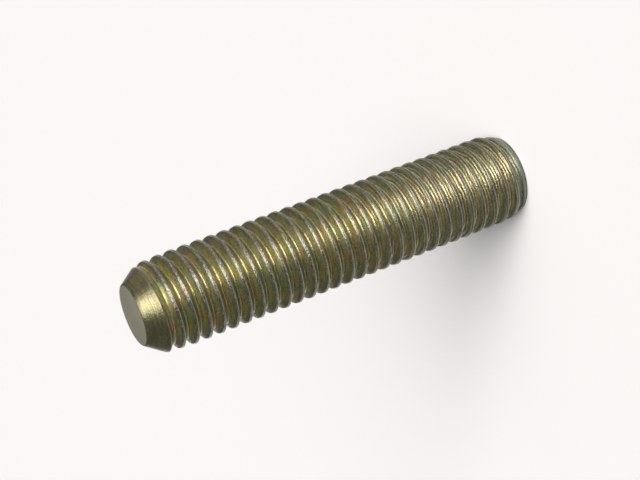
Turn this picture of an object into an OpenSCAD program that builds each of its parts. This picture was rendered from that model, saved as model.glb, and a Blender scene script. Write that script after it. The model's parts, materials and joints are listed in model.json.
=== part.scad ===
// Fully threaded stud, one piece of plated steel, standing on its lower end.
// Millimetres, +Z up along the axis, origin at the centre of the lower end face.

/* [Stud] */
// Length from end face to end face
stud_l = 45.4; // [25:0.1:70]

/* [Thread] */
// Diameter over the thread crests
crest_d = 9.85; // [9:0.05:12]
// Axial distance from one crest to the next
pitch = 1.5; // [1:0.05:1.75]
// Angle between the two flanks of a groove
flank_angle = 60; // [55:1:65]
// Width of the flat along each crest
crest_flat = 0.34; // [0.1:0.01:0.4]
// Width of the flat along the floor of each groove
root_flat = 0.26; // [0.1:0.01:0.4]
// Angle round the axis, from +X, at which a crest meets the lower end face
thread_start = 220; // [0:1:359]

/* [Upper end] */
// Diameter of the flat on the upper end
point_flat_d = 6.5; // [4:0.1:7.5]
// Height of the cone from that flat out to the crests
point_l = 2.3; // [1:0.1:5]
// Length from the upper end over which the rolled crests rise to full height
run_in_l = 5; // [2:0.1:10]
// How far below full height a crest would be at the upper end face
run_in_drop = 0.3; // [0:0.01:0.5]
// Distance below the upper end at which the groove begins to run out up the cone
run_out_l = 2.8; // [1:0.1:6]
// Slope of the groove's floor from there, against the axis
run_out_angle = 21; // [5:1:45]

/* [Lower end] */
// Diameter of the flat that the stud stands on
foot_flat_d = 8.6; // [6:0.1:8.8]
// Height of the chamfer from that flat out to the crests
foot_l = 1.9; // [0.5:0.1:5]

/* [Hidden] */
plated_steel = [0.62, 0.57, 0.33];

crest_r = crest_d / 2;
// Each flank spans this much of the pitch, and that fixes the depth of the groove
flank_w = (pitch - crest_flat - root_flat) / 2;
groove_depth = flank_w / tan(flank_angle / 2);
// The helix starts and ends beyond the end faces, which cut it off square
spare_turns = 2;
first_turn = -spare_turns;
last_turn = ceil(stud_l / pitch) + spare_turns;
turns = last_turn - first_turn;
// The outline that trims the thread stands clear of the crests between its two cones
trim_gap = 0.5;
// The number of steps in a turn is a multiple of four, within a limit on facets
facet_limit = 10400;
step_limit = 60;
profile_points = 4;
facets_per_step = 2 * profile_points * turns;
steps = min(step_limit, 4 * floor(facet_limit / facets_per_step / 4));
trim_facets = 120;

// One pitch of the thread from crest to groove floor: height above the crest's
// centre line, and depth below the crest
profile = [
    [-crest_flat / 2, 0],
    [crest_flat / 2, 0],
    [crest_flat / 2 + flank_w, groove_depth],
    [pitch - crest_flat / 2 - flank_w, groove_depth]
];

// Drop of the crests near the upper end, where rolling has not filled the thread
function run_in(z) = run_in_drop * max(0, 1 - max(0, stud_l - z) / run_in_l);

// Rise of the groove's floor near the upper end, where it runs out up the cone
function run_out(z) = max(0, z - stud_l + run_out_l) * tan(run_out_angle);

// A point of the helix: its step round the turn, and its place along the profile,
// counted in points from the start of the first turn
function thread_point(step, place) =
    let (corner = profile[place % profile_points])
    let (turn = first_turn + floor(place / profile_points) + step / steps)
    let (z = turn * pitch + corner[0])
    let (r = crest_r - max(corner[1] - run_out(z), run_in(z)))
    let (angle = thread_start + 360 * step / steps)
    [r * cos(angle), r * sin(angle), z];

// Right-handed helical ridge with a solid core. Each column of points is one step
// of a turn, and the column after the last is the first one, a pitch higher up.
module thread_helix() {
    column = profile_points * turns + 1;
    top = column - 1;
    floor_centre = steps * column;
    roof_centre = floor_centre + 1;
    function index(step, place) =
        step < steps ? step * column + place : place + profile_points;
    // The last strip stops a turn early, where the first column has its top point
    function strip_top(step) = step < steps - 1 ? top : top - profile_points;

    points = [for (step = [0:steps - 1], place = [0:top]) thread_point(step, place)];
    centres = [[0, 0, first_turn * pitch], [0, 0, last_turn * pitch]];
    lower_halves = [
        for (step = [0:steps - 1], place = [0:strip_top(step) - 1])
        [index(step, place), index(step, place + 1), index(step + 1, place)]
    ];
    upper_halves = [
        for (step = [0:steps - 1], place = [0:strip_top(step) - 1])
        [index(step + 1, place), index(step, place + 1), index(step + 1, place + 1)]
    ];
    floor_ramp = [
        for (step = [0:steps - 1])
        [index(step, 0), index(step + 1, 0), floor_centre]
    ];
    floor_step = [
        for (place = [0:profile_points - 1])
        [index(0, place + 1), index(0, place), floor_centre]
    ];
    roof_ramp = [
        for (step = [0:steps - 1])
        [index(step + 1, strip_top(step)), index(step, strip_top(step)), roof_centre]
    ];
    roof_step = [
        for (place = [top - profile_points:top - 1])
        [index(steps - 1, place), index(steps - 1, place + 1), roof_centre]
    ];
    polyhedron(
        concat(points, centres),
        concat(lower_halves, upper_halves, floor_ramp, floor_step, roof_ramp, roof_step)
    );
}

// Outline that trims the ends: flat faces, a chamfer below and a cone above
module end_trim() {
    outer_r = crest_r + trim_gap;
    foot_r = foot_flat_d / 2;
    point_r = point_flat_d / 2;
    foot_top = foot_l * (outer_r - foot_r) / (crest_r - foot_r);
    point_bottom = stud_l - point_l * (outer_r - point_r) / (crest_r - point_r);
    rotate_extrude($fn = trim_facets)
    polygon([
        [0, 0],
        [foot_r, 0],
        [outer_r, foot_top],
        [outer_r, point_bottom],
        [point_r, stud_l],
        [0, stud_l]
    ]);
}

module stud() {
    color(plated_steel)
    intersection() {
        thread_helix();
        end_trim();
    }
}

stud();
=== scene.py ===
# %% [markdown]
# # A threaded stud in yellow-plated steel
# The real thing is one piece: a steel rod rolled into a screw thread from end to end, coned at one
# end, chamfered at the other, then zinc plated and passivated to an oily yellow. The frame holds the
# measured solid. Here it is rebuilt with a finer, rounder thread and given its finish.

# %% Load the frame and read its sizes
import bpy
import json
import math
from mathutils import Matrix, Vector


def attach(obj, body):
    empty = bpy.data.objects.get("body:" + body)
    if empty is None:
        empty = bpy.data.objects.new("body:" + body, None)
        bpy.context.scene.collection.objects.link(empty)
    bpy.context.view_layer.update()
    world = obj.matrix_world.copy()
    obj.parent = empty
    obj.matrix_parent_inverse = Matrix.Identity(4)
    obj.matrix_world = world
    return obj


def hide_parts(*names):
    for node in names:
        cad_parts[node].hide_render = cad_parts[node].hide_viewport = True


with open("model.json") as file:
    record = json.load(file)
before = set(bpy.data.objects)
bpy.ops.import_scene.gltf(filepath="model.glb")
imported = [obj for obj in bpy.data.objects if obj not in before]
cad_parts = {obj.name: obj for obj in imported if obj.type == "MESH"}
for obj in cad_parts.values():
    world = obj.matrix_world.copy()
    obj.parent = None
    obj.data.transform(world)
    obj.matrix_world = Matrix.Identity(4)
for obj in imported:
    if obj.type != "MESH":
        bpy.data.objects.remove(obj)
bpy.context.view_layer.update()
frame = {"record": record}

MM = 0.001
mounts = {mount["name"]: mount for mount in frame["record"]["mounts"]}
stud_l = mounts["upper_face"]["pos_m"][2]
crest_r = mounts["thread"]["dims"]["r_mm"] * MM
print(f"stud: {stud_l / MM:.2f} mm long, {2 * crest_r / MM:.2f} mm over the crests")

# %% [markdown]
# ## The thread's profile
# One pitch of the thread is a ridge between two half grooves. A rolled thread has no sharp edges:
# the crest is rounded over and the groove's floor is a small arc that touches both flanks. Sharp
# corners and a bevel would come near that, but those two curves are what catch the light, so they
# are drawn as true arcs. The flanks are straight, but are cut into a few steps so that the ends can
# be shaped across them later. The dies push the metal along as they roll it, and here the crests
# are tipped by some degrees, to face a little upwards.

# %% Set the sizes of one pitch
pitch = 1.5 * MM
flank_half_angle = math.radians(30)
crest_flat = 0.34 * MM
root_flat = 0.26 * MM
crest_round = 0.10 * MM

flank_w = (pitch - crest_flat - root_flat) / 2
groove_depth = flank_w / math.tan(flank_half_angle)
root_r = crest_r - groove_depth
root_round = root_flat / 2 * math.cos(flank_half_angle) / (1 - math.sin(flank_half_angle))
print(f"groove: {groove_depth / MM:.3f} mm deep, its floor rounded to {root_round / MM:.3f} mm")

# %% Draw one pitch of the profile
arc_steps = 4
flank_steps = 4
crest_lean = math.radians(14)
lean_depth = 0.30 * MM
lean_shift = 0.05 * MM


def even_steps(first, last, count):
    """Values from first to last, in that many equal steps."""
    return [first + (last - first) * step / count for step in range(count + 1)]


def leaned(r, z):
    """A point of the profile with the crest tipped to face a little upwards."""
    share = max(1 - (crest_r - r) / lean_depth, 0)
    return r - z * math.tan(crest_lean) * share, z + lean_shift * share


def thread_profile():
    """Radius and height of one pitch, from groove floor to groove floor, about a crest at height 0."""
    arc_turn = math.pi / 2 - flank_half_angle
    groove_arc = [
        (root_r + root_round * (1 - math.cos(turn)), -pitch / 2 + root_round * math.sin(turn))
        for turn in even_steps(0, arc_turn, arc_steps)
    ]
    crest_edge = crest_flat / 2 - crest_round * math.tan(arc_turn / 2)
    crest_arc = [
        (crest_r - crest_round * (1 - math.cos(turn)), -crest_edge - crest_round * math.sin(turn))
        for turn in even_steps(arc_turn, 0, arc_steps)
    ]
    flank_start = Vector(groove_arc[-1])
    flank_end = Vector(crest_arc[0])
    flank = [tuple(flank_start.lerp(flank_end, share)) for share in even_steps(0, 1, flank_steps)]
    rising = groove_arc[:-1] + flank + crest_arc[1:]
    falling = [(r, -z) for r, z in reversed(rising)]
    return [leaned(r, z) for r, z in rising + falling]


profile = thread_profile()
print(f"profile: {len(profile)} points, from {profile[0][0] / MM:.2f} mm off the axis")

# %% [markdown]
# ## Winding the thread
# A groove could be cut out of a rod with a boolean, but that leaves slivers where the edges cross.
# A profile that is wound up leaves even rows of faces. It is drawn by hand: a small plane is added
# where it starts and merged into one vertex, and that vertex is extruded from point to point. The
# Screw modifier then turns the line round the Z axis and lifts it one pitch a turn. The end of one
# turn is the start of the next, so merging doubles joins the turns into one skin. It runs past both
# ends of the stud.

# %% Draw the profile's line
thread_start = math.radians(220)
spare_turns = 1
first_crest_z = -pitch * (spare_turns + thread_start / math.tau)
line = [Vector((r, 0, first_crest_z + z)) for r, z in profile]

bpy.ops.object.select_all(action="DESELECT")
bpy.ops.mesh.primitive_plane_add(size=MM, location=line[0])
stud = bpy.context.object
stud.name = "threaded_stud"
stud.data.name = "threaded_stud"
bpy.ops.object.transform_apply(location=True, rotation=True, scale=True)
bpy.ops.object.mode_set(mode="EDIT")
bpy.ops.mesh.select_mode(type="VERT")
bpy.ops.mesh.select_all(action="SELECT")
bpy.ops.mesh.merge(type="CENTER")
for start, end in zip(line, line[1:]):
    bpy.ops.mesh.extrude_region_move(TRANSFORM_OT_translate={"value": end - start})
bpy.ops.object.mode_set(mode="OBJECT")
print(f"line: {len(stud.data.vertices)} vertices, {len(stud.data.edges)} edges")

# %% Wind it into a helix
steps_per_turn = 96
merge_distance = 0.001 * MM
turns = math.ceil((stud_l - first_crest_z) / pitch) + spare_turns

winding = stud.modifiers.new("Winding", "SCREW")
winding.axis = "Z"
winding.angle = math.tau
winding.screw_offset = pitch
winding.iterations = turns
winding.steps = steps_per_turn
winding.render_steps = steps_per_turn
bpy.ops.object.modifier_apply(modifier=winding.name)

bpy.ops.object.mode_set(mode="EDIT")
bpy.ops.mesh.select_all(action="SELECT")
bpy.ops.mesh.remove_doubles(threshold=merge_distance)
bpy.ops.object.mode_set(mode="OBJECT")
print(f"winding: {turns} turns, {len(stud.data.polygons)} faces")

# %% [markdown]
# ## Shaping the ends
# The blank was turned before it was rolled: a cone at the upper end, a slight chamfer at the lower.
# The dies then pressed the thread into it, and near the cone they don't quite fill the ridge, which
# grows to its full height over the first few turns, while the groove runs out up the cone. Cutting
# the cones with a boolean would leave knife edges. So each corner keeps its height and direction,
# and its distance from the axis becomes the least of the ridge's and the two cones', rounded over
# where they cross, as metal that was rolled and not cut.

# %% Draw the corners in to the two cones
point_flat_r = 3.25 * MM
point_l = 2.3 * MM
foot_flat_r = 4.3 * MM
foot_l = 1.9 * MM
run_in_l = 5 * MM
run_in_drop = 0.30 * MM
run_out_l = 2.8 * MM
run_out_angle = math.radians(21)
edge_round = 0.16 * MM

point_slope = (crest_r - point_flat_r) / point_l
foot_slope = (crest_r - foot_flat_r) / foot_l


def soft_min(first, second):
    """The smaller of two radii, rounded over where they cross."""
    share = min(max(0.5 + (second - first) / (2 * edge_round), 0), 1)
    return second + (first - second) * share - edge_round * share * (1 - share)


for corner in stud.data.vertices:
    radius = corner.co.xy.length
    below_top = stud_l - corner.co.z
    run_in = min(max(1 - below_top / run_in_l, 0), 1)
    ridge = root_r + (radius - root_r) * (1 - run_in * run_in_drop / groove_depth)
    run_out = root_r + max(run_out_l - below_top, 0) * math.tan(run_out_angle)
    ridge = max(ridge, run_out)
    point_cone = point_flat_r + below_top * point_slope
    foot_cone = foot_flat_r + corner.co.z * foot_slope
    corner.co.xy *= soft_min(soft_min(ridge, point_cone), foot_cone) / radius
print(f"ends: cone to {2 * point_flat_r / MM:.1f} mm, chamfer to {2 * foot_flat_r / MM:.1f} mm")

# %% [markdown]
# ## Cutting to length
# The skin is cut flat at the lower end and the cut is filled. The upper cut is made a little below
# the end, where the cone is already clear of the thread, and its rim is extruded ring by ring: up
# the rest of the cone, over the edge's small round and onto the flat, which is filled last. A bevel
# could round that edge too, but rings keep the round the same all the way about.

# %% Draw the round of the upper edge
collar_l = 0.4 * MM
edge_break = 0.15 * MM


def broken_edge(before, corner, after):
    """A corner of an outline swapped for a short arc that starts and ends edge_break away from it."""
    start = corner + (before - corner).normalized() * edge_break
    end = corner + (after - corner).normalized() * edge_break
    return [
        start * (1 - share) ** 2 + corner * 2 * share * (1 - share) + end * share ** 2
        for share in even_steps(0, 1, arc_steps)
    ]


collar = Vector((point_flat_r + collar_l * point_slope, stud_l - collar_l))
rim = broken_edge(collar, Vector((point_flat_r, stud_l)), Vector((0, stud_l)))
print(f"upper edge: {len(rim)} rings above a cut at {collar.y / MM:.2f} mm")

# %% Cut both ends and close them
smooth_angle = math.radians(60)

bpy.ops.object.mode_set(mode="EDIT")
bpy.ops.mesh.select_all(action="SELECT")
bpy.ops.mesh.bisect(plane_co=(0, 0, 0), plane_no=(0, 0, 1), clear_inner=True, use_fill=True,
                    threshold=merge_distance)
bpy.ops.mesh.select_all(action="SELECT")
bpy.ops.mesh.bisect(plane_co=(0, 0, collar.y), plane_no=(0, 0, 1), clear_outer=True,
                    threshold=merge_distance)
for lower, upper in zip([collar] + rim, rim):
    bpy.ops.mesh.extrude_region_move(TRANSFORM_OT_translate={"value": (0, 0, upper.y - lower.y)})
    shrink = upper.x / lower.x
    bpy.ops.transform.resize(value=(shrink, shrink, 1), center_override=(0, 0, upper.y))
bpy.ops.mesh.edge_face_add()
bpy.ops.mesh.select_all(action="SELECT")
bpy.ops.mesh.remove_doubles(threshold=merge_distance)
bpy.ops.mesh.normals_make_consistent(inside=False)
bpy.ops.object.mode_set(mode="OBJECT")
bpy.ops.object.shade_smooth_by_angle(angle=smooth_angle)
top_z = max(corner.co.z for corner in stud.data.vertices)
print(f"stud: {len(stud.data.polygons)} faces, up to {top_z / MM:.2f} mm")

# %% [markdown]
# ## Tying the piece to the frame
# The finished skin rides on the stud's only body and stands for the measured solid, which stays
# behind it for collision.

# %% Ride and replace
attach(stud, "root")
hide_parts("stud")
print("rides on root:", stud.name)

# %% [markdown]
# ## Writing a finish as sums
# A finish is a tree of nodes, and most of them are plain arithmetic, which is hard to read when it
# is wired up node by node. This small class holds one socket: adding, subtracting or multiplying
# two of them adds the Math node that does it. Its node method makes any other node, and ramp and mix
# are short names for the two that are used most.

# %% A socket with arithmetic


class Link:
    """One socket of a material's tree. Python's operators on it add Math nodes."""

    def __init__(self, tree, socket=None):
        self.tree = tree
        self.socket = socket

    def node(self, kind, settings=None, sockets=None, result=0):
        """Adds a node of that kind, sets it, then fills its sockets with values or links."""
        made = self.tree.nodes.new("ShaderNode" + kind)
        for name, setting in (settings or {}).items():
            setattr(made, name, setting)
        for name, given in (sockets or {}).items():
            if isinstance(given, Link):
                self.tree.links.new(given.socket, made.inputs[name])
            else:
                made.inputs[name].default_value = given
        return Link(self.tree, made.outputs[result])

    def math(self, operation, other=0.0):
        """This value and another, or a number, through a Math node."""
        return self.node("Math", {"operation": operation}, {0: self, 1: other})

    def __add__(self, other):
        return self.math("ADD", other)

    __radd__ = __add__

    def __mul__(self, other):
        return self.math("MULTIPLY", other)

    __rmul__ = __mul__

    def __sub__(self, other):
        return self.math("SUBTRACT", other)

    def __rsub__(self, other):
        return self * -1 + other

    def ramp(self, low, high):
        """0 below low, 1 above high, with a smooth rise between. low may be the larger."""
        limits = {"Value": self, "From Min": low, "From Max": high}
        return self.node("MapRange", {"interpolation_type": "SMOOTHSTEP"}, limits)

    def mix(self, dark, light):
        """The first colour where this is 0, the second where it is 1."""
        return self.node("Mix", {"data_type": "RGBA"}, {0: self, 6: dark, 7: light}, 2)


# %% [markdown]
# ## The yellow plating
# Passivated zinc is a thin, slightly milky film over bright metal. On the flanks it runs from olive
# to gold, stained with copper, green and moss where the film is thicker or thinner. On the crests,
# where the dies burnished it, it is nearly silver, with a cast of teal or rose. The flat of the
# upper end is dull and grey, and the lower end is grey green, its lowest rim darkened by painted
# shade. A picture wrapped round the stud could show all that, but it would have a seam and blur close
# up. So each colour is named once, and masks worked out from the shape say where it goes.

# %% The plating's colours
OLIVE = (0.310, 0.332, 0.172, 1)
GOLD = (0.395, 0.378, 0.188, 1)
MOSS = (0.355, 0.360, 0.110, 1)
PALE_GOLD = (0.368, 0.352, 0.218, 1)
ROOT_GOLD = (0.275, 0.230, 0.122, 1)
COPPER = (0.425, 0.285, 0.130, 1)
GREEN = (0.250, 0.310, 0.180, 1)
SILVER = (0.245, 0.243, 0.215, 1)
TEAL = (0.170, 0.245, 0.225, 1)
ROSE = (0.285, 0.228, 0.215, 1)
POINT_GOLD = (0.288, 0.279, 0.147, 1)
END_GREY = (0.185, 0.187, 0.142, 1)
WARM_GREY = (0.460, 0.420, 0.390, 1)
COOL_GREY = (0.370, 0.420, 0.370, 1)
FOOT_GREY = (0.250, 0.275, 0.205, 1)
print("flanks run from", OLIVE[:3], "to", GOLD[:3])

# %% Start the material
zinc = bpy.data.materials.new("yellow_zinc")
zinc.use_nodes = True
tree = zinc.node_tree
shader = tree.nodes["Principled BSDF"]
here = Link(tree).node("TexCoord", result="Object")
stud.data.materials.clear()
stud.data.materials.append(zinc)
print("material:", stud.data.materials[0].name)

# %% [markdown]
# ## Finding a place on the thread
# A spot's height, less the climb of the helix in its direction, tells how far it lies above or below
# the nearest crest. Most of the finish follows from that one distance: the burnished line along the
# crest, the bright line in the groove, and the painted shade on the flank that faces down. Where the
# cone begins is told in another way, by how far a spot lies inside it. Towards the foot the finish
# changes: the lines are drawn softer, and the crest's line paler and a little lower, where the crest
# mirrors the floor. There it is partly a painted reflection, with a painted dark line above it. A slow
# ramp fades one into the other.

# %% Measure from the crest and the cone
burnish_z = 0.05 * MM
burnish_drop = 0.15 * MM
burnish_narrowing = 0.04 * MM
shade_z = 0.06 * MM

x, y, height = (here.node("SeparateXYZ", {}, {"Vector": here}, axis) for axis in "XYZ")
from_end = stud_l - height
inside_cone = point_flat_r + point_slope * from_end - (x * x + y * y).math("SQRT")
climb = height * (1 / pitch) - y.math("ARCTAN2", x) * (1 / math.tau) + thread_start / math.tau
from_crest = pitch * ((climb + 0.5).math("FRACT") - 0.5)
from_point = height.ramp(0.95 * stud_l, 0.45 * stud_l)
towards_foot = height.ramp(0.55 * stud_l, 0.22 * stud_l)
# partly painted reflection: near the foot the crest's line is moved lower, to where the crest mirrors
# the floor
from_burnish = (from_crest - burnish_z + burnish_drop * towards_foot).math("ABSOLUTE")
from_burnish = from_burnish + burnish_narrowing * from_point
from_shade = (from_crest - shade_z).math("ABSOLUTE")
print("nodes that measure:", len(tree.nodes))

# %% Mask the two ends
skin = 0.01 * MM
skin_fade = 0.03 * MM

on_point = inside_cone.ramp(skin_fade, skin)
on_point_edge = inside_cone.ramp(0.16 * MM, 0.06 * MM) * inside_cone.ramp(skin, skin_fade)
on_foot = height.ramp(1.20 * MM, 0.60 * MM)
# painted shade: the lowest rim of the foot, where it meets the floor, is darkened by the tone below
painted_shade_rim = height.ramp(0.45 * MM, 0.10 * MM)
on_end = from_end.ramp(skin_fade, skin)
on_thread = (1 - on_point) * (1 - on_end) * (1 - on_foot)
print("nodes with the ends' masks:", len(tree.nodes))

# %% Mask the thread's lines
# The first length of each ramp is where a mask begins, and the second is where it is full
on_burnish = from_burnish.ramp(0.18 * MM, 0.10 * MM) * on_thread
# painted shade: near the foot a dark line is painted along each crest, just above its pale line
painted_shade_line = from_shade.ramp(0.11 * MM, 0.06 * MM) * on_thread * towards_foot
in_groove = from_crest.math("ABSOLUTE").ramp(0.10 * MM, 0.60 * MM) * on_thread
on_root = from_crest.ramp(0.56 * MM, 0.61 * MM) * from_crest.ramp(0.69 * MM, 0.66 * MM) * on_thread
on_root = on_root * (1 - 0.7 * towards_foot)
# painted shade: the flank under each crest, which faces down, is darkened down into the groove's floor
painted_shade_under = (from_crest.ramp(-0.09 * MM, -0.24 * MM) + from_crest.ramp(0.65 * MM, 0.69 * MM)) * on_thread
print("nodes with the lines' masks:", len(tree.nodes))

# %% [markdown]
# ## Patterns
# No two spots of plating are alike. Noise gives broad patches, smaller stains and a fine grain. One
# noise is drawn out round the stud into streaks, as the sliding dies leave them. A sine wave that
# follows the helix, pushed about by more noise, makes the fine rolled lines in the groove.

# %% Noise for patches, grain and rolled lines
lines_per_pitch = 8
line_waver = 9.0


def noise(scale_mm, stretch=1.0, detail=2.0, offset=0.0):
    """Noise with features of about that size, drawn out round the stud where stretch is over 1."""
    fine = 1 / (scale_mm * MM)
    scale = (fine / stretch, fine / stretch, fine)
    spot = here.node("Mapping", {}, {"Vector": here, "Location": (offset,) * 3, "Scale": scale})
    return here.node("TexNoise", {}, {"Vector": spot, "Scale": 1.0, "Detail": detail})


patches = noise(2.4, stretch=1.5, detail=3.0)
blotches = noise(1.1, stretch=1.6, detail=3.0, offset=2.2)
hues = noise(0.55, stretch=2.5, detail=3.0, offset=7.3)
tints = noise(0.5, stretch=1.5, offset=3.1)
speckle = noise(0.15, stretch=1.5, offset=5.7)
grain = noise(0.15)
streaks = noise(0.15, stretch=14)
waver = line_waver * noise(0.7, stretch=4, offset=4.4)
ripple = (climb * (lines_per_pitch * math.tau) + waver).math("SINE")
print("nodes with patterns:", len(tree.nodes))

# %% [markdown]
# ## Colour
# The colours are laid one over another, as stains are: first the flank's, then the crest's, then
# the cone and the foot. A tone darkens or lightens the whole by grain and streaks, and by place it
# paints light and shade: painted light brightens each groove towards its floor, and painted shade
# darkens the flank that faces down, a line along the crests near the foot, the lowest rim and a
# little of the stud's middle. The end flat is mixed in last, since no thread reaches it.

# %% Lay the stains over one another
flank = patches.ramp(0.38, 0.66).mix(OLIVE, GOLD)
flank = (hues.ramp(0.48, 0.65) * (0.3 + 0.7 * in_groove)).mix(flank, COPPER)
flank = (0.7 * hues.ramp(0.46, 0.32)).mix(flank, GREEN)
flank = (0.8 * blotches.ramp(0.54, 0.66)).mix(flank, MOSS)
flank = (0.6 * towards_foot).mix(flank, PALE_GOLD)
flank = on_root.mix(flank, ROOT_GOLD)
crest = tints.ramp(0.48, 0.32).mix(SILVER, TEAL)
crest = tints.ramp(0.54, 0.70).mix(crest, ROSE)
# towards the foot the crest's line turns a paler grey, partly burnish and partly a painted reflection
# of the floor
crest = (0.7 * towards_foot).mix(crest, tints.ramp(0.42, 0.58).mix(COOL_GREY, WARM_GREY))
colour = on_point.mix(flank, POINT_GOLD)
colour = on_burnish.mix(colour, crest)
colour = on_point_edge.mix(colour, SILVER)
colour = on_foot.mix(colour, FOOT_GREY)
print("nodes with stains:", len(tree.nodes))

# %% Darken and lighten them
speckling = 0.55 - 0.30 * on_point
sparkle = 0.20 - 0.55 * speckle.ramp(0.44, 0.62)
tone = 0.80 + speckling * (grain.ramp(0.36, 0.64) - 0.5) + 0.30 * streaks.ramp(0.34, 0.66)
# painted light and shade: each groove is lightened towards its floor, while the flanks that face down
# and the line along the crests near the foot are darkened
tone = tone * (0.74 + 0.58 * in_groove) * (1 - 0.65 * painted_shade_line) * (1 - 0.52 * painted_shade_under)
# painted shade: the lowest rim is darkened, and the middle of the stud a little, which dims its
# highlight
tone = tone * (1 - 0.5 * painted_shade_rim) * (1 - 0.05 * from_point * (1 - towards_foot))
tone = tone * (1 - on_burnish * (1 - 0.7 * towards_foot) * sparkle)
tone = tone * (1 + 0.28 * ripple * towards_foot * in_groove * (1 - on_burnish))
colour = here.node("VectorMath", {"operation": "SCALE"}, {0: colour, "Scale": tone})
colour = on_end.mix(colour, END_GREY)
print("nodes with tone:", len(tree.nodes))

# %% [markdown]
# ## Shine
# Rolling leaves fine lines round the stud, so its sheen is drawn out along the axis. Anisotropy does
# that, and a quarter turn of it sets the direction. The grain, the streaks and the rolled lines are
# far too small to model, so they are bumps. Towards the foot a thin clear coat stands for the thicker
# film there. The end flat is neither metal nor bumpy, as a dull cut face looks.

# %% Roughness, metal, film and bumps
bump_depth = 0.04 * MM

roughness = 0.23 + 0.20 * grain + 0.02 * from_point + 0.65 * on_end
roughness = roughness - 0.10 * on_root - 0.13 * on_burnish * (1 - towards_foot)
metallic = 0.9 - 0.9 * on_end - 0.2 * on_foot
film = (0.05 + 0.25 * towards_foot) * (1 - on_end)

rolled = streaks + 0.30 * ripple * (1 - on_burnish) * patches.ramp(0.36, 0.60)
bumps = (0.6 + 0.3 * towards_foot) * grain + (0.3 + 1.8 * towards_foot) * rolled
bumps = bumps + (1.2 - 0.8 * towards_foot) * on_burnish * speckle
bump = {"Height": bumps * (1 - on_end), "Strength": 1.0, "Distance": bump_depth}
normal = here.node("Bump", {}, bump, "Normal")
print("nodes in all:", len(tree.nodes))

# %% Wire up the finish
sheen = {"Specular Tint": (0.95, 0.95, 0.91, 1), "Coat Roughness": 0.2, "Anisotropic": 0.6,
         "Anisotropic Rotation": 0.25}
for name, value in sheen.items():
    shader.inputs[name].default_value = value
finish = {"Base Color": colour, "Roughness": roughness, "Metallic": metallic, "Coat Weight": film,
          "Normal": normal}
for name, link in finish.items():
    tree.links.new(link.socket, shader.inputs[name])
print("finish:", ", ".join(finish))

# %% [markdown]
# ## The floor and the light
# The stud stands on a pale floor under soft light. Three soft lamps hang one above another in front
# and a little to the right. Together they are like a tall window, and draw one bright line down
# the whole thread, since each lights the faces that lean its way. Two weaker lamps at the right
# lift that side and its outline. All are kept low enough that the floor stays short of pure white.

# %% Lay the floor
floor_size = 16.0
bpy.ops.object.select_all(action="DESELECT")
bpy.ops.mesh.primitive_plane_add(size=floor_size, location=(0, 0, 0))
floor = bpy.context.object
floor.name = "floor"
paper = bpy.data.materials.new("pale_paper")
paper.use_nodes = True
paper_shader = paper.node_tree.nodes["Principled BSDF"]
paper_shader.inputs["Base Color"].default_value = (0.89, 0.918, 0.920, 1)
paper_shader.inputs["Roughness"].default_value = 0.9
paper_shader.inputs["Specular IOR Level"].default_value = 0.0
floor.data.materials.append(paper)
print(f"floor: {floor_size:.0f} m across")

# %% Hang the lamps
lamp_colour = (1.0, 0.925, 0.91)
strip_elevations = (15, 37, 59)


def towards(azimuth, elevation):
    """Unit vector from the stud, turned from its front to its right and then raised, in degrees."""
    turn = math.radians(azimuth)
    rise = math.radians(elevation)
    return Vector((math.sin(turn) * math.cos(rise), -math.cos(turn) * math.cos(rise), math.sin(rise)))


def distant_light(name, azimuth, elevation, width, strength):
    """A soft light far away, width degrees across, whose strength is its light on a facing surface."""
    bpy.ops.object.light_add(type="SUN")
    lamp = bpy.context.object
    lamp.name = name
    lamp.rotation_euler = towards(azimuth, elevation).to_track_quat("Z", "Y").to_euler()
    lamp.data.angle = math.radians(width)
    lamp.data.energy = strength
    lamp.data.color = lamp_colour


for elevation in strip_elevations:
    distant_light(f"strip_lamp_{elevation}", azimuth=18, elevation=elevation, width=44, strength=1.63)
distant_light("fill_lamp", azimuth=55, elevation=15, width=50, strength=0.44)
distant_light("side_lamp", azimuth=100, elevation=4, width=64, strength=0.36)

# %% Light the rest of the room
world = bpy.data.worlds.new("studio")
world.use_nodes = True
sky = world.node_tree.nodes["Background"]
sky.inputs["Color"].default_value = (0.140, 0.142, 0.142, 1)
sky.inputs["Strength"].default_value = 1.0
bpy.context.scene.world = world
bpy.context.scene.view_settings.view_transform = "Standard"
print("room:", world.name)

# %% [markdown]
# ## The camera
# The photograph was taken from close by with a long lens, a little above the stud's middle when the
# stud stands upright, and the camera was rolled well over on its side. The angles are in degrees,
# and the stud's middle lies a little off the middle of the picture.

# %% Work out where the camera stands
camera_azimuth = -0.56
camera_elevation = 21.84
camera_roll = 110.73
camera_distance = 157.79 * MM
middle_right = 0.911 * MM
middle_up = -0.114 * MM

back = towards(camera_azimuth, camera_elevation)
level_right = Vector((0, 0, 1)).cross(back).normalized()
level_up = back.cross(level_right)
roll = math.radians(camera_roll)
right = math.cos(roll) * level_right - math.sin(roll) * level_up
up = math.cos(roll) * level_up + math.sin(roll) * level_right
middle = Vector((0, 0, stud_l / 2))
place = middle + camera_distance * back - middle_right * right - middle_up * up
print("camera at", [round(v / MM, 1) for v in place], "mm")

# %% Set it up
lens = bpy.data.cameras.new("camera")
lens.sensor_width = 36
lens.lens = 83.79
lens.clip_start = 10 * MM
lens.clip_end = 10
camera = bpy.data.objects.new("camera", lens)
bpy.context.scene.collection.objects.link(camera)
camera.matrix_world = Matrix((right, up, back)).transposed().to_4x4()
camera.location = place
bpy.context.scene.camera = camera
print(f"camera: {camera_distance / MM:.1f} mm away, {lens.lens:.1f} mm lens")
